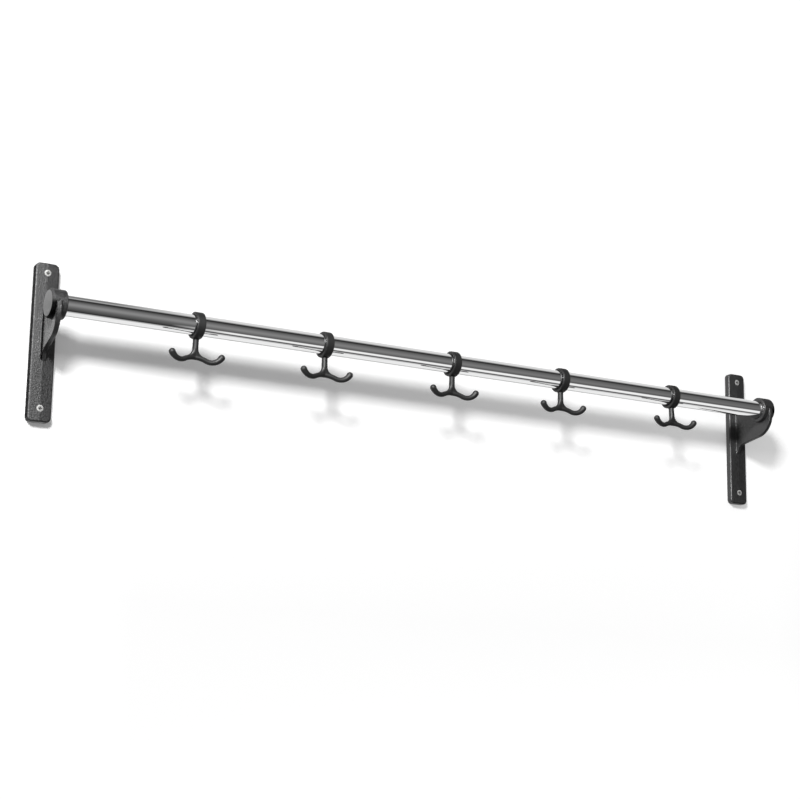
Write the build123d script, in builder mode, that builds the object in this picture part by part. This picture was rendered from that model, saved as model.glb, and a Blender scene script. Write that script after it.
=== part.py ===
from build123d import *
from math import acos, atan2, cos, degrees, radians, sin, sqrt, tan
import os

# Wall hook rail: a chromed tube held between two cast wall brackets, with five double hooks hanging on it.
# Millimetres. +X runs along the rail, +Y goes into the wall and +Z is up.
# The origin lies on the wall plane, at the centre of the four wall screws.

# Tube
tube_diameter = 25.0
tube_wall = 1.5
tube_rise = 32.6  # tube axis above the middle of a bracket's two screws
tube_reach = 48.3  # tube axis in front of the plates

# Bracket plate
bracket_spacing = 1066.0  # between the centre lines of the two plates
plate_width = 30.0
plate_thickness = 9.5  # along the middle, where the front rises to a low ridge
plate_side_thickness = 8.5
plate_corner = 6.5
plate_edge = 2.4
plate_above_screw = 12.5
plate_below_screw = 16.5

# Bracket socket: a blind cup for the end of the tube, a little outboard of the plate
socket_wall = 5.3  # from the tube's surface to the outside of the cup
socket_length = 19.5
socket_end_wall = 5.5
socket_outboard = 4.6  # middle of the socket from the centre line of the plate
socket_rim_round = 1.2
socket_end_round = 3.0
socket_mouth_chamfer = 0.4
tube_fit = 0.1  # radial clearance of the tube in its socket
tube_end_gap = 0.5  # from each end of the tube to the bottom of its socket

# Bracket web: the thin arm that sweeps from the plate to the socket
web_thickness = 6.0
web_root_inboard = 0.7  # its root from the centre line of the plate
web_nose_inboard = 0.5  # its front edge from the middle of the socket
web_head = 5.0  # its upper edge above the tube axis
web_nose_drop = 0.5  # where its front edge leaves the socket, below the tube axis
web_nose_proud = 0.5  # its front edge in front of the socket
web_belly_drop = 33.5  # corner of its front and lower edges, below the tube axis
web_belly_radius = 31.0
web_heel_drop = 45.6  # corner where its lower edge turns down to the plate
web_heel_reach = 6.5
web_heel_radius = 15.0
web_toe_drop = 58.0  # where its lower edge meets the plate
web_edge = 0.9
web_root_fillet = 1.5  # between the web and the plate
web_neck_fillet = 1.6  # between the web and the socket

# Wall screws, countersunk, with a cross recess
screw_spacing = 165.4
screw_diameter = 4.5  # of the threaded length, which starts behind the plate
screw_neck_diameter = 3.4  # of the plain neck, inside the plate
screw_length = 50.0
screw_point = 7.0
screw_head_diameter = 8.2
screw_head_angle = 90.0
screw_head_dome = 0.35
screw_seat_gap = 0.05
screw_hole_diameter = 4.9
recess_length = 4.4
recess_width = 1.1
recess_depth = 1.6
recess_taper = 12.0

# Hooks
ring_play = 0.5  # radial clearance of a ring on the tube
ring_rest_gap = 0.12  # left where the ring rests on the top of the tube
ring_wall = 3.6
ring_width = 11.0
ring_outer_round = 1.3
ring_inner_round = 0.6
stem_top_diameter = 7.3
stem_diameter = 7.7  # where the stem begins to spread
stem_fillet = 1.5
flare_radius = 10.0  # of the sides of the stem, where they sweep out into the prongs
flare_depth = 5.2  # thickness of the spread stem, front to back
flare_sections = 5
curl_drop = 12.4  # centre of each curl below the ring
curl_offset = 20.7  # centre of each curl from the middle of the hook
curl_radius = 14.8
curl_end_angle = 59.0  # from straight down to the tip
crown_radius = 33.0  # of the raised middle between the two curls
crown_run_in = 6.0  # degrees past the middle, cut off where the two prongs meet
prong_diameter = 6.4
tip_diameter = 8.4
half_way_swell = 0.2  # share of the growth from prong to tip that is reached half way along a curl
prong_forward_angle = 12.5  # each prong turns this much away from the wall
hook_places = (-358.0, -182.0, 7.0, 180.0, 369.0)
hook_leans = (-5.0, 0.0, -1.0, 0.0, 5.0)  # degrees about the tube, positive away from the wall

# Worked out from the sizes above
tube_radius = tube_diameter / 2
plate_x = bracket_spacing / 2
tube_y = -plate_thickness - tube_reach
socket_radius = tube_radius + socket_wall
socket_bore_radius = tube_radius + tube_fit
socket_end_x = plate_x + socket_outboard + socket_length / 2
socket_mouth_x = socket_end_x - socket_length
socket_bottom_x = socket_end_x - socket_end_wall
tube_length = 2 * (socket_bottom_x - tube_end_gap)
plate_top = screw_spacing / 2 + plate_above_screw
plate_bottom = -screw_spacing / 2 - plate_below_screw
plate_height = plate_top - plate_bottom
ring_bore_radius = tube_radius + ring_play
ring_radius = ring_bore_radius + ring_wall
ring_sag = ring_play - ring_rest_gap
overlap = 1.5  # how far joined forms run into each other

tube_plane = Plane(origin=(0, tube_y, tube_rise), x_dir=(0, 1, 0), z_dir=(1, 0, 0))
screw_plane = Plane(origin=(0, -plate_thickness, 0), x_dir=(1, 0, 0), z_dir=(0, -1, 0))

os.makedirs("parts", exist_ok=True)

# Tube: one straight length, open at both ends, whose ends stand in the two sockets.
with BuildPart() as tube:
    with BuildSketch(tube_plane):
        Circle(tube_radius)
        Circle(tube_radius - tube_wall, mode=Mode.SUBTRACT)
    extrude(amount=tube_length / 2, both=True)

# Web of the right bracket: it slants outward from the plate, so that it meets the socket near its middle.
web_slant = atan2(socket_outboard - web_nose_inboard + web_root_inboard, tube_reach)
web_plane = Plane(
    origin=(plate_x - web_root_inboard, -plate_thickness, tube_rise),
    x_dir=(sin(web_slant), -cos(web_slant), 0),
    z_dir=(-cos(web_slant), -sin(web_slant), 0),
)
web_front = (tube_reach + socket_radius) / cos(web_slant) + web_nose_proud
heel_fall = (web_toe_drop - web_heel_drop) / web_heel_reach
with BuildPart() as web:
    with BuildSketch(web_plane) as web_outline:
        with BuildLine():
            Polyline(
                (-overlap, web_head),
                (tube_reach, web_head),
                (web_front, -web_nose_drop),
                (web_front, -web_belly_drop),
                (web_heel_reach, -web_heel_drop),
                (-overlap, -web_toe_drop - heel_fall * overlap),
                close=True,
            )
        make_face()
        belly = web_outline.vertices().sort_by_distance((web_front, -web_belly_drop))[0]
        fillet(belly, radius=web_belly_radius)
        heel = web_outline.vertices().sort_by_distance((web_heel_reach, -web_heel_drop))[0]
        fillet(heel, radius=web_heel_radius)
    extrude(amount=web_thickness / 2, both=True)
    lower_edges = (
        web.edges()
        .filter_by(Axis((0, 0, 0), web_plane.z_dir), reverse=True)
        .filter_by_position(Axis.Y, tube_y - 2 * socket_radius, -plate_thickness)
        .filter_by_position(Axis.Z, plate_bottom, tube_rise - web_nose_drop)
    )
    fillet(lower_edges, radius=web_edge)

# Plate: its front falls away a little on both sides of the ridge, so one half is made and mirrored.
with BuildPart() as plate:
    with BuildSketch(Plane.XY.offset(plate_bottom)):
        with BuildLine():
            Polyline(
                (0, 0),
                (0, -plate_thickness),
                (plate_width / 2, -plate_side_thickness),
                (plate_width / 2, 0),
                close=True,
            )
        make_face()
    extrude(amount=plate_height)
    with BuildSketch(Plane.XZ):
        with Locations((0, (plate_top + plate_bottom) / 2)):
            RectangleRounded(plate_width, plate_height, plate_corner)
    extrude(amount=plate_thickness, mode=Mode.INTERSECT)
    front_face = plate.faces().sort_by(Axis.Y)[0]
    fillet(front_face.edges().sort_by(Axis.X)[1:], radius=plate_edge)
    mirror(about=Plane.YZ)

# Right bracket: plate, web and blind socket in one casting.
with BuildPart() as right_bracket:
    with Locations((plate_x, 0, 0)):
        add(plate.part)

    add(web.part)
    root_edges = (
        right_bracket.edges()
        .filter_by_position(Axis.Y, -plate_thickness - web_edge, -plate_side_thickness)
        .filter_by_position(Axis.X, plate_x - web_thickness, plate_x + web_thickness)
        .filter_by_position(Axis.Z, tube_rise - web_toe_drop - overlap, tube_rise + web_head + overlap)
    )
    fillet(root_edges, radius=web_root_fillet)

    with BuildSketch(Plane(origin=(0, tube_y, tube_rise), x_dir=(1, 0, 0), z_dir=(0, -1, 0))) as cup:
        with BuildLine():
            Polyline(
                (socket_mouth_x, 0),
                (socket_mouth_x, socket_radius),
                (socket_end_x, socket_radius),
                (socket_end_x, 0),
                close=True,
            )
        make_face()
        fillet(cup.vertices().sort_by_distance((socket_mouth_x, socket_radius))[0], radius=socket_rim_round)
        fillet(cup.vertices().sort_by_distance((socket_end_x, socket_radius))[0], radius=socket_end_round)
    revolve(axis=Axis((0, tube_y, tube_rise), (1, 0, 0)))
    neck_edges = right_bracket.edges().filter_by(GeomType.ELLIPSE).sort_by(SortBy.LENGTH)[-2:]
    fillet(neck_edges, radius=web_neck_fillet)

    with BuildSketch(tube_plane.offset(socket_mouth_x)):
        Circle(socket_bore_radius)
    extrude(amount=socket_bottom_x - socket_mouth_x, mode=Mode.SUBTRACT)
    bore_edges = right_bracket.edges(Select.LAST).filter_by(GeomType.CIRCLE).sort_by(Axis.X)
    chamfer(bore_edges[0], length=socket_mouth_chamfer)

    with Locations(screw_plane):
        with Locations((plate_x, screw_spacing / 2), (plate_x, -screw_spacing / 2)):
            CounterSinkHole(
                radius=screw_hole_diameter / 2,
                counter_sink_radius=screw_head_diameter / 2 + screw_seat_gap,
                counter_sink_angle=screw_head_angle,
            )

# Left bracket: the same casting, mirrored.
with BuildPart() as left_bracket:
    mirror(right_bracket.part, about=Plane.YZ)

# Wall screw: a slightly domed countersunk head with a cross recess, a plain neck through the plate, the
# threaded length, drawn as a plain rod of its outer diameter, and a long point.
screw_radius = screw_diameter / 2
screw_neck_radius = screw_neck_diameter / 2
screw_head_radius = screw_head_diameter / 2
screw_head_depth = (screw_head_radius - screw_neck_radius) / tan(radians(screw_head_angle / 2))
with BuildPart() as screw:
    with BuildSketch(Plane.XZ):
        with BuildLine():
            dome = ThreePointArc(
                (screw_head_radius, 0),
                (screw_head_radius / 2, 0.75 * screw_head_dome),
                (0, screw_head_dome),
            )
            Polyline(
                (0, screw_head_dome),
                (0, -screw_length),
                (screw_radius, -screw_length + screw_point),
                (screw_radius, -plate_thickness),
                (screw_neck_radius, -plate_thickness),
                (screw_neck_radius, -screw_head_depth),
                (screw_head_radius, 0),
            )
        make_face()
    revolve(axis=Axis.Z)
    with BuildSketch(Plane.XY.offset(screw_head_dome)):
        Rectangle(recess_length, recess_width)
        Rectangle(recess_width, recess_length)
    extrude(amount=-recess_depth, taper=recess_taper, mode=Mode.SUBTRACT)

with BuildPart() as wall_screws:
    with Locations(screw_plane):
        with GridLocations(bracket_spacing, screw_spacing, 2, 2):
            add(screw.part)

# Hook: a ring, a stem that spreads at its foot and two curled prongs, all one piece. The ring's centre is at 0.
prong_turn = radians(prong_forward_angle)
prong_plane = Plane(
    origin=(0, 0, 0),
    x_dir=(cos(prong_turn), -sin(prong_turn), 0),
    z_dir=(-sin(prong_turn), -cos(prong_turn), 0),
)
curl_height = -ring_radius - curl_drop
crown_height = curl_height - sqrt((curl_radius + crown_radius) ** 2 - curl_offset**2)
crown_half_angle = degrees(atan2(curl_offset, curl_height - crown_height))

# Each side of the stem sweeps out in an arc that ends where it touches the top of the prong.
stem_radius = stem_diameter / 2
crown_top_radius = crown_radius + prong_diameter / 2
flare_reach = flare_radius + crown_top_radius
flare_turn = acos((stem_radius + flare_radius) / flare_reach)
flare_start = crown_height + flare_reach * sin(flare_turn)

with BuildPart() as hook:
    with BuildLine(prong_plane) as crown_line:
        CenterArc((0, crown_height), crown_radius, 90 + crown_run_in, -crown_run_in - crown_half_angle)
    crown_path = crown_line.wire()
    with BuildSketch(Plane(origin=crown_path @ 0, z_dir=crown_path % 0)):
        Circle(prong_diameter / 2)
    sweep(path=crown_path)

    with BuildLine(prong_plane) as curl_line:
        CenterArc((curl_offset, curl_height), curl_radius, 270 - crown_half_angle, crown_half_angle + curl_end_angle)
    curl_path = curl_line.wire()
    for part_way, swell in ((0, 0), (0.5, half_way_swell), (1, 1)):
        with BuildSketch(Plane(origin=curl_path @ part_way, z_dir=curl_path % part_way)):
            Circle((prong_diameter + swell * (tip_diameter - prong_diameter)) / 2)
    sweep(path=curl_path, multisection=True)
    with Locations(curl_path @ 1):
        Sphere(tip_diameter / 2)

    for step in range(flare_sections):
        share = step / (flare_sections - 1)
        turn = share * flare_turn
        height = flare_start - flare_radius * sin(turn)
        spread = stem_radius + flare_radius * (1 - cos(turn))
        with BuildSketch(Plane(origin=(0, 0, height), x_dir=prong_plane.x_dir, z_dir=(0, 0, -1))):
            Ellipse(spread, stem_radius + share * (flare_depth / 2 - stem_radius))
    loft()
    split(bisect_by=Plane.YZ, keep=Keep.TOP)
    mirror(about=Plane.YZ)

    with BuildSketch(Plane.XZ) as ring_section:
        with Locations((0, ring_bore_radius + ring_wall / 2)):
            Rectangle(ring_width, ring_wall)
        fillet(ring_section.vertices().group_by(Axis.Y)[-1], radius=ring_outer_round)
        fillet(ring_section.vertices().group_by(Axis.Y)[0], radius=ring_inner_round)
    revolve(axis=Axis.X)

    stem_top = -ring_radius + overlap
    stem_height = stem_top - flare_start
    with Locations((0, 0, (stem_top + flare_start) / 2)):
        Cone(bottom_radius=stem_radius, top_radius=stem_top_diameter / 2, height=stem_height)
    stem_edge = hook.edges().filter_by(GeomType.BSPLINE).sort_by(Axis.Z)[-1]
    fillet(stem_edge, radius=stem_fillet)

# The five hooks stand where they hang in use, each ring resting on the top of the tube.
hooks = []
for place, lean in zip(hook_places, hook_leans):
    with BuildPart() as placed_hook:
        with Locations(Location((place, tube_y, tube_rise - ring_sag), (-lean, 0, 0))):
            add(hook.part)
    hooks.append(placed_hook)

pieces = {
    "left_bracket": left_bracket,
    "right_bracket": right_bracket,
    "tube": tube,
    "wall_screws": wall_screws,
}
for number, placed_hook in enumerate(hooks, start=1):
    pieces[f"hook_{number}"] = placed_hook

for name, piece in pieces.items():
    piece.part.label = name
    export_step(piece.part, f"parts/{name}.step")
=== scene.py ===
from math import pi

import bpy
from mathutils import Euler, Matrix, Vector

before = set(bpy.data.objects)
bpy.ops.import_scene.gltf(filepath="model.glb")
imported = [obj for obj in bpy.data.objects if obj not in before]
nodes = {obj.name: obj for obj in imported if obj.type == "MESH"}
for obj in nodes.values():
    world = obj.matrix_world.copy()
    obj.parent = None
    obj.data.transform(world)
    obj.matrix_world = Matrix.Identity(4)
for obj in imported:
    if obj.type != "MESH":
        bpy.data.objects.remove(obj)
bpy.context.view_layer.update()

# Wall brackets. Each is one casting, plate, web and blind socket together,
# powder coated in a fine textured black that is a little worn on the outer
# edges. Two screws hold the plate to the wall.
deep_black = (0.002, 0.002, 0.002)
worn_black = (0.024, 0.024, 0.025)
# The two greys below are painted light on the brackets: a lit face and a painted highlight.
lit_face_painted_grey = (0.25, 0.25, 0.25)
painted_highlight_grey = (0.33, 0.33, 0.33)

# Where the coat changes, in metres, each from where a change has not begun to where it is full.
# Sideways places are from the middle of the rail.
round_edge_side = (0.5440, 0.5450)
outermost_side = (0.5473, 0.5478)
socket_end_side = (0.5408, 0.5414)
# Depths are from the wall, with minus towards the room. The plates are 0.0095 deep.
root_depth, past_root_depth = (-0.0088, -0.0092), (-0.020, -0.013)
web_depth = (-0.011, -0.013)
paler_depth = (-0.014, -0.026)
socket_depth = (-0.030, -0.035)
# Heights are from the middle between a plate's two screws. The tube's axis is at 0.0326.
underside_height = (0.036, 0.030)
upper_rim_height = (0.022, 0.030)
end_fade_height = (0.050, 0.016)
# How far a face looks outward: 1 is straight along the rail, away from its middle.
partly_outward = (0.15, 0.30)
fully_outward = (0.94, 0.97)
powder_roughness = (0.42, 0.57)


def feed(tree, socket, value):
    """Links another node's output to a socket, or sets the socket to a number or a colour."""
    if isinstance(value, bpy.types.NodeSocket):
        tree.links.new(value, socket)
    else:
        socket.default_value = value


def new_group(name, numbers, outputs):
    """A shader node group with a Position and number inputs, and the nodes that carry its sockets."""
    group = bpy.data.node_groups.new(name, "ShaderNodeTree")
    group.interface.new_socket("Position", in_out="INPUT", socket_type="NodeSocketVector")
    for socket, value in numbers.items():
        made = group.interface.new_socket(socket, in_out="INPUT", socket_type="NodeSocketFloat")
        made.default_value = value
    for socket in outputs:
        group.interface.new_socket(socket, in_out="OUTPUT", socket_type="NodeSocketFloat")
    return group, group.nodes.new("NodeGroupInput"), group.nodes.new("NodeGroupOutput")


def maths(tree, operation, first, *others, clamp=False):
    """Math nodes that work through sockets or plain numbers, from the first to the last."""
    for other in others or (None,):
        node = tree.nodes.new("ShaderNodeMath")
        node.operation = operation
        node.use_clamp = clamp
        feed(tree, node.inputs[0], first)
        if other is not None:
            feed(tree, node.inputs[1], other)
        first = node.outputs["Value"]
    return first


def noise(tree, where, scale, detail=3.0, roughness=0.5):
    """The grey value of a noise texture read at a position."""
    node = tree.nodes.new("ShaderNodeTexNoise")
    node.inputs["Detail"].default_value = detail
    node.inputs["Roughness"].default_value = roughness
    feed(tree, node.inputs["Scale"], scale)
    tree.links.new(where, node.inputs["Vector"])
    return node.outputs["Fac"]


def spread(tree, value, low, high, new_low=0.0, new_high=1.0):
    """Maps low..high to new_low..new_high, clamped. Low may be the larger of the two."""
    node = tree.nodes.new("ShaderNodeMapRange")
    node.clamp = True
    tree.links.new(value, node.inputs["Value"])
    for socket, number in (("From Min", low), ("From Max", high), ("To Min", new_low), ("To Max", new_high)):
        node.inputs[socket].default_value = number
    return node.outputs["Result"]


def split(tree, vector):
    """The X, Y and Z sockets of a position or a direction."""
    node = tree.nodes.new("ShaderNodeSeparateXYZ")
    tree.links.new(vector, node.inputs["Vector"])
    return node.outputs


# Edge wear: up to Amount on outer edges, broken up by a fine noise, and 0 elsewhere.
edge_wear, entry, leave = new_group("edge_wear", {"Amount": 0.5, "Grain": 900.0}, ["Wear"])
pointiness = edge_wear.nodes.new("ShaderNodeNewGeometry").outputs["Pointiness"]
ridge = spread(edge_wear, pointiness, 0.505, 0.56)  # a flat face has 0.5
broken = noise(edge_wear, entry.outputs["Position"], entry.outputs["Grain"])
broken = spread(edge_wear, broken, 0.35, 0.65)
worn = maths(edge_wear, "MULTIPLY", ridge, broken, entry.outputs["Amount"], clamp=True)
edge_wear.links.new(worn, leave.inputs["Wear"])

# Coat texture: the fine orange-peel of a textured powder coat, its specks, and slow changes of tone.
coat_texture, entry, leave = new_group("coat_texture", {"Grain": 1300.0}, ["Height", "Specks", "Tone"])
coarse_scale, speck_scale, tone_scale = 700.0, 560.0, 16.0  # grains in a metre
position = entry.outputs["Position"]
fine = noise(coat_texture, position, entry.outputs["Grain"], detail=1.0)
coarse = noise(coat_texture, position, coarse_scale, detail=1.0)
specks = noise(coat_texture, position, speck_scale, detail=0.0)
specks = spread(coat_texture, specks, 0.36, 0.64)
peel = spread(coat_texture, maths(coat_texture, "ADD", fine, coarse), 0.6, 1.4)
peel_and_specks = maths(coat_texture, "MULTIPLY", maths(coat_texture, "ADD", peel, specks), 0.5)
coat_texture.links.new(peel_and_specks, leave.inputs["Height"])
coat_texture.links.new(specks, leave.inputs["Specks"])
coat_texture.links.new(noise(coat_texture, position, tone_scale, detail=4.0), leave.inputs["Tone"])


def place_group(tree, group, **values):
    """A group node in a material, with numbers or sockets for its inputs."""
    node = tree.nodes.new("ShaderNodeGroup")
    node.node_tree = group
    for name, value in values.items():
        feed(tree, node.inputs[name], value)
    return node.outputs


def start_material(name, metallic=0.0):
    """A material with its Principled BSDF and the object position socket."""
    material = bpy.data.materials.new(name)
    material.use_nodes = True
    tree = material.node_tree
    shader = tree.nodes["Principled BSDF"]
    shader.inputs["Metallic"].default_value = metallic
    where = tree.nodes.new("ShaderNodeTexCoord").outputs["Object"]
    return material, tree, shader, where


def two_colours(tree, factor, low, high):
    """A colour that goes from low to high with the factor; each end is a colour or a socket."""
    node = tree.nodes.new("ShaderNodeMix")
    node.data_type = "RGBA"
    for name, colour in (("A", low), ("B", high)):
        feed(tree, node.inputs[name], (*colour, 1.0) if isinstance(colour, tuple) else colour)
    tree.links.new(factor, node.inputs["Factor"])
    return node.outputs["Result"]


def bump(tree, shader, height, strength, distance):
    """A Bump node on the shader's Normal, its distance in metres."""
    node = tree.nodes.new("ShaderNodeBump")
    node.inputs["Strength"].default_value = strength
    node.inputs["Distance"].default_value = distance
    tree.links.new(height, node.inputs["Height"])
    tree.links.new(node.outputs["Normal"], shader.inputs["Normal"])


def give(node_name, material):
    """Puts the material on every slot of a CAD node."""
    mesh = nodes[node_name].data
    mesh.materials.clear()
    mesh.materials.append(material)


powder_black, tree, shader, where = start_material("textured_black_powder_coat")
texture = place_group(tree, coat_texture, Position=where, Grain=1700.0)
wear = place_group(tree, edge_wear, Position=where, Amount=0.25, Grain=700.0)["Wear"]
tone = spread(tree, texture["Tone"], 0.3, 0.7)
lighter = maths(tree, "ADD", tone, maths(tree, "MULTIPLY", texture["Specks"], 2.0))
lighter = maths(tree, "ADD", maths(tree, "MULTIPLY", lighter, 0.3), wear, clamp=True)
coat = two_colours(tree, lighter, deep_black, worn_black)

# Painted light: the webs' outer faces and the sockets' ends are painted paler, as lit faces.
# That paleness fades out near the plates as painted shade; the ends get a paler painted highlight and a thin
# clear coat.
place = split(tree, where)
facing = split(tree, tree.nodes.new("ShaderNodeNewGeometry").outputs["Normal"])
sideways = maths(tree, "ABSOLUTE", place["X"])
outward = maths(tree, "MULTIPLY", facing["X"], maths(tree, "SIGN", place["X"]))
outermost = spread(tree, sideways, *outermost_side)
at_socket = spread(tree, place["Y"], *socket_depth)
outer_face = spread(tree, outward, *fully_outward)
outer_face = maths(tree, "MULTIPLY", outer_face, spread(tree, place["Y"], *web_depth))
painted_light_face = maths(tree, "MULTIPLY", outer_face, spread(tree, place["Y"], *paler_depth))
coat = two_colours(tree, painted_light_face, coat, lit_face_painted_grey)
painted_highlight_end = maths(tree, "MULTIPLY", outermost, at_socket)  # 0.1 on the sockets' ends, 0 elsewhere
tree.links.new(two_colours(tree, painted_highlight_end, coat, painted_highlight_grey), shader.inputs["Base Color"])
tree.links.new(painted_highlight_end, shader.inputs["Coat Weight"])
shader.inputs["Coat Roughness"].default_value = 0.12
shader.inputs["Coat IOR"].default_value = 1.8

# Painted shade: plates' outer sides, webs' roots and sockets' end undersides are black metal, mirroring
# little.
# The sockets' end faces get darker downward in the same way, as painted shade.
plate_side = maths(tree, "MULTIPLY", outermost, maths(tree, "SUBTRACT", 1.0, at_socket))
root = maths(
    tree, "MULTIPLY",
    spread(tree, outward, *partly_outward),
    spread(tree, place["Y"], *root_depth),
    spread(tree, place["Y"], *past_root_depth),
)
socket_end = spread(tree, sideways, *socket_end_side)
underside = maths(tree, "MULTIPLY", at_socket, spread(tree, place["Z"], *underside_height), socket_end)
underside = maths(tree, "MULTIPLY", underside, maths(tree, "SUBTRACT", 1.0, outer_face))
end_fade = spread(tree, place["Z"], *end_fade_height, 0.0, 0.75)
end_fade = maths(tree, "MULTIPLY", outer_face, socket_end, end_fade)
painted_shade = maths(tree, "MAXIMUM", plate_side, end_fade, root, underside)
tree.links.new(painted_shade, shader.inputs["Metallic"])

# The coat is duller on worn and round edges, and smoother on the outer faces.
round_edge = spread(tree, sideways, *round_edge_side)
round_edge = maths(tree, "SUBTRACT", round_edge, outermost, clamp=True)
upper_rim = maths(tree, "MULTIPLY", at_socket, spread(tree, place["Z"], *upper_rim_height))
edge_dull = maths(tree, "ADD", maths(tree, "MULTIPLY", upper_rim, 0.25), 0.10)
dull = maths(tree, "ADD", maths(tree, "MULTIPLY", wear, 0.6), maths(tree, "MULTIPLY", round_edge, edge_dull))
grainy = spread(tree, texture["Specks"], 0.0, 1.0, *powder_roughness)
smoother = maths(tree, "SUBTRACT", grainy, maths(tree, "MULTIPLY", outer_face, 0.18))
tree.links.new(maths(tree, "ADD", smoother, dull), shader.inputs["Roughness"])
shader.inputs["IOR"].default_value = 1.82
shader.inputs["Specular IOR Level"].default_value = 1.0
bump(tree, shader, texture["Height"], strength=1.0, distance=0.00016)
give("left_bracket", powder_black)
give("right_bracket", powder_black)

# Tube. A straight length of 25 mm steel tube with bright chrome on it, open at
# both ends. It stands in the blind sockets, with no screw or glue to be seen.
chrome_dark, chrome_bright = (0.84, 0.84, 0.845), (0.89, 0.89, 0.89)
chrome_roughness = (0.0, 0.0035)
drawn_streaks = (2.0, 260.0, 260.0)  # per metre: long along the tube, fine round it

bright_chrome, tree, shader, where = start_material("bright_chrome", metallic=1.0)
stretch = tree.nodes.new("ShaderNodeMapping")
stretch.inputs["Scale"].default_value = drawn_streaks
tree.links.new(where, stretch.inputs["Vector"])
drawn = noise(tree, stretch.outputs["Vector"], scale=1.0, detail=2.0)
smudge = noise(tree, where, scale=14.0, detail=5.0, roughness=0.6)
tree.links.new(two_colours(tree, smudge, chrome_dark, chrome_bright), shader.inputs["Base Color"])
tree.links.new(spread(tree, smudge, 0.35, 0.75, *chrome_roughness), shader.inputs["Roughness"])
bump(tree, shader, drawn, strength=0.06, distance=0.00005)
give("tube", bright_chrome)

# Hooks. Each is one small casting, a ring with a stem and two curled prongs,
# in smooth satin black enamel. The ring is threaded on the tube and slides, and
# the enamel's edges are a little lighter and duller from use.
enamel_black, enamel_worn = (0.010, 0.010, 0.010), (0.036, 0.036, 0.037)
satin_roughness = (0.48, 0.58)
hook_count = 5

satin_black, tree, shader, where = start_material("satin_black_enamel")
flow = noise(tree, where, scale=55.0, detail=3.0)
peel = noise(tree, where, scale=650.0, detail=1.0)
wear = place_group(tree, edge_wear, Position=where, Amount=0.22, Grain=1200.0)["Wear"]
lighter = maths(tree, "ADD", maths(tree, "MULTIPLY", flow, 0.3), wear, clamp=True)
tree.links.new(two_colours(tree, lighter, enamel_black, enamel_worn), shader.inputs["Base Color"])
satin = spread(tree, flow, 0.3, 0.7, *satin_roughness)
dull = maths(tree, "MULTIPLY", wear, 0.9)
tree.links.new(maths(tree, "ADD", satin, dull), shader.inputs["Roughness"])
shader.inputs["IOR"].default_value = 1.55
shader.inputs["Specular IOR Level"].default_value = 1.0
bump(tree, shader, peel, strength=0.5, distance=0.0002)
for number in range(1, hook_count + 1):
    give(f"hook_{number}", satin_black)

# Wall screws. Countersunk steel wood screws with a cross recess, zinc plated,
# their heads level with the plates. The driver has scuffed the recesses.
dull_zinc, scuffed_zinc = (0.36, 0.36, 0.355), (0.95, 0.95, 0.93)
# The darkest colour is painted shade, for the insides of the recesses.
recess_painted_shade = (0.05, 0.05, 0.05)
zinc_roughness = (0.36, 0.60)
# Painted shade: the screws darken into their recesses.
# From the heads' faces to inside their recesses, in metres. All that lies deeper is as dark, so
# the shanks, which the wall hides, are dark too.
recess_depth = (-0.0095, -0.0090)

zinc_plate, tree, shader, where = start_material("zinc_plated_steel", metallic=0.6)
cloud = noise(tree, where, scale=900.0, detail=3.0)
wear = place_group(tree, edge_wear, Position=where, Amount=1.0, Grain=2500.0)["Wear"]
scuffed = maths(tree, "ADD", maths(tree, "MULTIPLY", cloud, 0.3), wear, clamp=True)
plating = two_colours(tree, scuffed, dull_zinc, scuffed_zinc)
painted_recess_shade = spread(tree, split(tree, where)["Y"], *recess_depth)
tree.links.new(two_colours(tree, painted_recess_shade, plating, recess_painted_shade), shader.inputs["Base Color"])
tree.links.new(spread(tree, scuffed, 0.1, 0.6, *zinc_roughness), shader.inputs["Roughness"])
bump(tree, shader, cloud, strength=0.2, distance=0.00005)
give("wall_screws", zinc_plate)

# Wall and floor. The rail is screwed to a plain wall in white paint, which
# shows its shadow, and the floor far below is as pale. Neither is part of it.
wall_depth = 0.0006  # just behind the plates
wall_left, wall_right, wall_top = -6.0, 8.0, 5.0
floor_height, floor_reach = -1.3, 30.0
paint_white = (0.86, 0.86, 0.86, 1.0)
pure_white = (1.0, 1.0, 1.0, 1.0)


def flat_sheet(name, corners, material):
    """A single-faced sheet through four corners, which the rail neither mirrors nor is lit by."""
    mesh = bpy.data.meshes.new(name)
    mesh.from_pydata(corners, [], [(0, 1, 2, 3)])
    mesh.materials.append(material)
    sheet = bpy.data.objects.new(name, mesh)
    bpy.context.scene.collection.objects.link(sheet)
    sheet.visible_diffuse = False
    sheet.visible_glossy = False
    return sheet


def plateau(tree, value, rise, fall):
    """1 on a stretch of the value, with a slope at each end; a pair is where it is 0 and where 1."""
    return maths(tree, "MULTIPLY", spread(tree, value, *rise), spread(tree, value, *fall))


white_paint = bpy.data.materials.new("white_wall_paint")
white_paint.use_nodes = True
tree = white_paint.node_tree
tree.nodes.clear()
paint = tree.nodes.new("ShaderNodeBsdfDiffuse")
paint.inputs["Color"].default_value = paint_white

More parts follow.
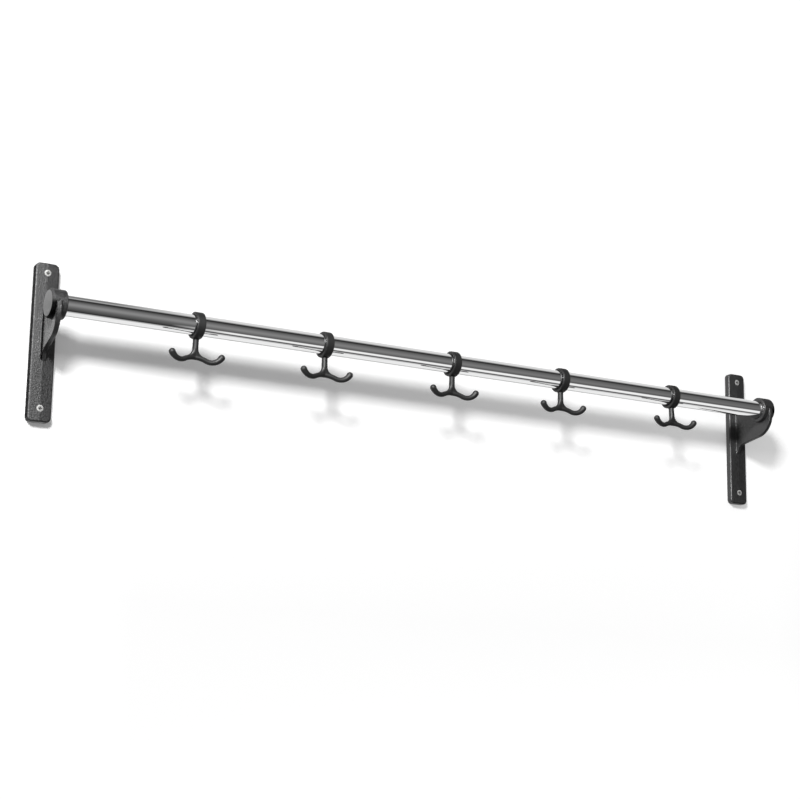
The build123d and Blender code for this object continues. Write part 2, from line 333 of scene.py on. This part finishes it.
# The paint gives off a little light where it is looked at: more to the right, at the far left, low
# down, and in a strip below the tube, where the shadows are faint.
rays = tree.nodes.new("ShaderNodeLightPath")
seen = maths(
    tree, "MAXIMUM",
    rays.outputs["Is Camera Ray"], rays.outputs["Is Glossy Ray"], rays.outputs["Is Transmission Ray"],
)
point = split(tree, tree.nodes.new("ShaderNodeNewGeometry").outputs["Position"])
share = maths(
    tree, "ADD",
    spread(tree, point["X"], -0.6, 0.6, 0.03, 0.33),
    spread(tree, point["X"], -0.50, -0.40, 0.05, 0.0),
    spread(tree, point["Z"], -0.3, -0.9, 0.0, 0.25),
)
strip = plateau(tree, point["Z"], (-0.01, -0.04), (-0.097, -0.090))
strip_share = spread(tree, point["X"], -0.46, -0.36, 0.30, 0.13)
share = maths(tree, "ADD", share, maths(tree, "MULTIPLY", strip, strip_share))
lift = tree.nodes.new("ShaderNodeEmission")
lift.inputs["Color"].default_value = pure_white
tree.links.new(maths(tree, "MULTIPLY", seen, share), lift.inputs["Strength"])
both = tree.nodes.new("ShaderNodeAddShader")
tree.links.new(paint.outputs["BSDF"], both.inputs[0])
tree.links.new(lift.outputs["Emission"], both.inputs[1])

# From behind, the sheets are clear.
behind = tree.nodes.new("ShaderNodeNewGeometry").outputs["Backfacing"]
clear = tree.nodes.new("ShaderNodeBsdfTransparent")
one_sided = tree.nodes.new("ShaderNodeMixShader")
tree.links.new(behind, one_sided.inputs["Fac"])
tree.links.new(both.outputs["Shader"], one_sided.inputs[1])
tree.links.new(clear.outputs["BSDF"], one_sided.inputs[2])
leave = tree.nodes.new("ShaderNodeOutputMaterial")
tree.links.new(one_sided.outputs["Shader"], leave.inputs["Surface"])

wall_corners = [
    (wall_left, wall_depth, floor_height), (wall_right, wall_depth, floor_height),
    (wall_right, wall_depth, wall_top), (wall_left, wall_depth, wall_top),
]
floor_corners = [
    (-floor_reach, -floor_reach, floor_height), (floor_reach, -floor_reach, floor_height),
    (floor_reach, floor_reach, floor_height), (-floor_reach, floor_reach, floor_height),
]
wall = flat_sheet("wall", wall_corners, white_paint)
wall.visible_shadow = False
flat_sheet("floor", floor_corners, white_paint)

# Light and camera. One soft box high on the left throws the soft shadow down
# to the right, and a pale room fills the rest. The camera stands low on the
# left and looks up along the rail.
fill_level = 0.30  # the plain fill that dull surfaces are lit by
dim_level = 0.05  # the least that the duller coats mirror

room = bpy.data.worlds.new("pale_room")
bpy.context.scene.world = room
room.use_nodes = True
room.cycles.sampling_method = "NONE"  # the plain fill and the smooth bands need no aimed samples
tree = room.node_tree
tree.nodes.clear()
towards = split(tree, tree.nodes.new("ShaderNodeTexCoord").outputs["Generated"])


def background(tree, colour, strength):
    """A part of the room, with a colour and a strength that are values or sockets."""
    node = tree.nodes.new("ShaderNodeBackground")
    feed(tree, node.inputs["Color"], colour)
    feed(tree, node.inputs["Strength"], strength)
    return node.outputs["Background"]


# What the chrome mirrors, in bands of grey round the rail, each with its angle in degrees: 0 is at
# the wall, 90 up, 180 at the room and 270 down. The floor is white and the ceiling and wall are pale.
band_stops = (
    (0, 0.62), (10, 0.80), (20, 0.95), (44, 0.86), (60, 0.72), (76, 0.78), (92, 0.70), (104, 0.24),
    (112, 0.045), (119, 0.02), (128, 0.065), (150, 0.18), (170, 0.28), (182, 0.28), (205, 0.15),
    (226, 0.09), (240, 0.05), (247, 0.02), (251, 0.05), (256, 0.35), (262, 0.5), (272, 0.95),
    (314, 0.95), (326, 0.85), (337, 0.45), (348, 0.38), (360, 0.62),
)
turn = maths(tree, "ARCTAN2", towards["Z"], towards["Y"])
turn = maths(tree, "FRACT", maths(tree, "DIVIDE", turn, 2 * pi))  # the angle as a part of a full turn
bands = tree.nodes.new("ShaderNodeValToRGB")
tree.links.new(turn, bands.inputs["Fac"])
ramp = bands.color_ramp
while len(ramp.elements) > 1:
    ramp.elements.remove(ramp.elements[0])
for number, (angle, grey) in enumerate(band_stops):
    stop = ramp.elements[0] if number == 0 else ramp.elements.new(angle / 360)
    stop.position = angle / 360
    stop.color = (grey, grey, grey, 1.0)

# To the right, the white floor's edge slants across the bands. To the left, the ceiling is darker.
edge_angle, edge_slant, edge_blur = 238.0, 47.0, 4.0  # degrees
floor_edge = maths(tree, "SUBTRACT", edge_angle, maths(tree, "MULTIPLY", towards["X"], edge_slant))
past_edge = maths(tree, "SUBTRACT", maths(tree, "MULTIPLY", turn, 360.0), floor_edge)
floor_shine = maths(
    tree, "MULTIPLY",
    spread(tree, past_edge, -edge_blur, edge_blur),
    spread(tree, turn, 246 / 360, 234 / 360),
    spread(tree, towards["X"], 0.37, 0.40),
)
mirrored = two_colours(tree, floor_shine, bands.outputs["Color"], (1.0, 1.0, 1.0))
ceiling = plateau(tree, turn, (40 / 360, 60 / 360), (96 / 360, 88 / 360))
left_shade = maths(tree, "MULTIPLY", ceiling, spread(tree, towards["X"], 0.38, 0.34, 0.0, 0.7))
mirrored = two_colours(tree, left_shade, mirrored, (0.0, 0.0, 0.0))

# The room gets darker towards its far end.
room_side = plateau(tree, turn, (0.38, 0.45), (0.60, 0.56))
far_end = maths(tree, "MULTIPLY", spread(tree, towards["X"], 0.33, 0.80, 0.0, 0.6), room_side)
mirror_room = background(tree, mirrored, maths(tree, "SUBTRACT", 1.0, far_end))

# What the duller coats catch: a dim room in front, and the pale wall behind. The wall is dimmer on
# the left, apart from a strip at its far end and a spot beside the left bracket.
wallward = spread(tree, towards["Y"], 0.3, 0.8)
wall_level = spread(tree, towards["X"], -0.3, 0.0, 0.15, 1.0)
far_strip = spread(tree, towards["X"], -0.35, -0.65, 0.1, 0.8)
spot = maths(
    tree, "MULTIPLY",
    plateau(tree, towards["X"], (-0.39, -0.36), (-0.22, -0.25)),
    spread(tree, towards["Z"], 0.12, 0.16),
    spread(tree, towards["Z"], 0.38, 0.34),
)
wall_level = maths(tree, "MAXIMUM", wall_level, far_strip, maths(tree, "MULTIPLY", spot, 0.95))
pale_wall = maths(tree, "MULTIPLY", wallward, wall_level)
dim_room = background(tree, pure_white, maths(tree, "ADD", pale_wall, dim_level))

# Each kind of ray gets its own room, and the last that fits a ray counts. The camera sees white.
rays = tree.nodes.new("ShaderNodeLightPath")
picked = background(tree, pure_white, fill_level)
for ray, room_seen in (
    ("Is Glossy Ray", dim_room),
    ("Is Singular Ray", mirror_room),
    ("Is Camera Ray", background(tree, pure_white, 1.0)),
):
    pick = tree.nodes.new("ShaderNodeMixShader")
    tree.links.new(rays.outputs[ray], pick.inputs["Fac"])
    tree.links.new(picked, pick.inputs[1])
    tree.links.new(room_seen, pick.inputs[2])
    picked = pick.outputs["Shader"]
leave = tree.nodes.new("ShaderNodeOutputWorld")
tree.links.new(picked, leave.inputs["Surface"])

# The soft box is square and is aimed at the wall behind the middle of the rail.
box_place = Vector((-1.81, -2.26, 1.36))
box_side, box_power = 0.62, 105.0  # metres and watts
lamp = bpy.data.lights.new("key_soft_box", "AREA")
lamp.shape = "RECTANGLE"
lamp.size = lamp.size_y = box_side
lamp.energy = box_power
soft_box = bpy.data.objects.new("key_soft_box", lamp)
bpy.context.scene.collection.objects.link(soft_box)
soft_box.location = box_place
soft_box.rotation_mode = "QUATERNION"
soft_box.rotation_quaternion = (-box_place).to_track_quat("-Z", "Y")

# The camera's place, angles and lens are the ones that the photograph was measured with.
camera_place = (-1.20765, -2.03487, -0.51202)
camera_yaw, camera_pitch, camera_roll = 0.52162, 0.21050, -0.01683  # radians
camera_data = bpy.data.cameras.new("camera")
camera_data.sensor_width = 36.0
camera_data.lens = 81.505
camera_data.clip_end = 60.0
camera = bpy.data.objects.new("camera", camera_data)
bpy.context.scene.collection.objects.link(camera)
camera.location = camera_place
turned = Euler((pi / 2 + camera_pitch, 0.0, -camera_yaw)).to_matrix() @ Matrix.Rotation(-camera_roll, 3, "Z")
camera.rotation_euler = turned.to_euler()
bpy.context.scene.camera = camera

bpy.context.scene.view_settings.view_transform = "Standard"
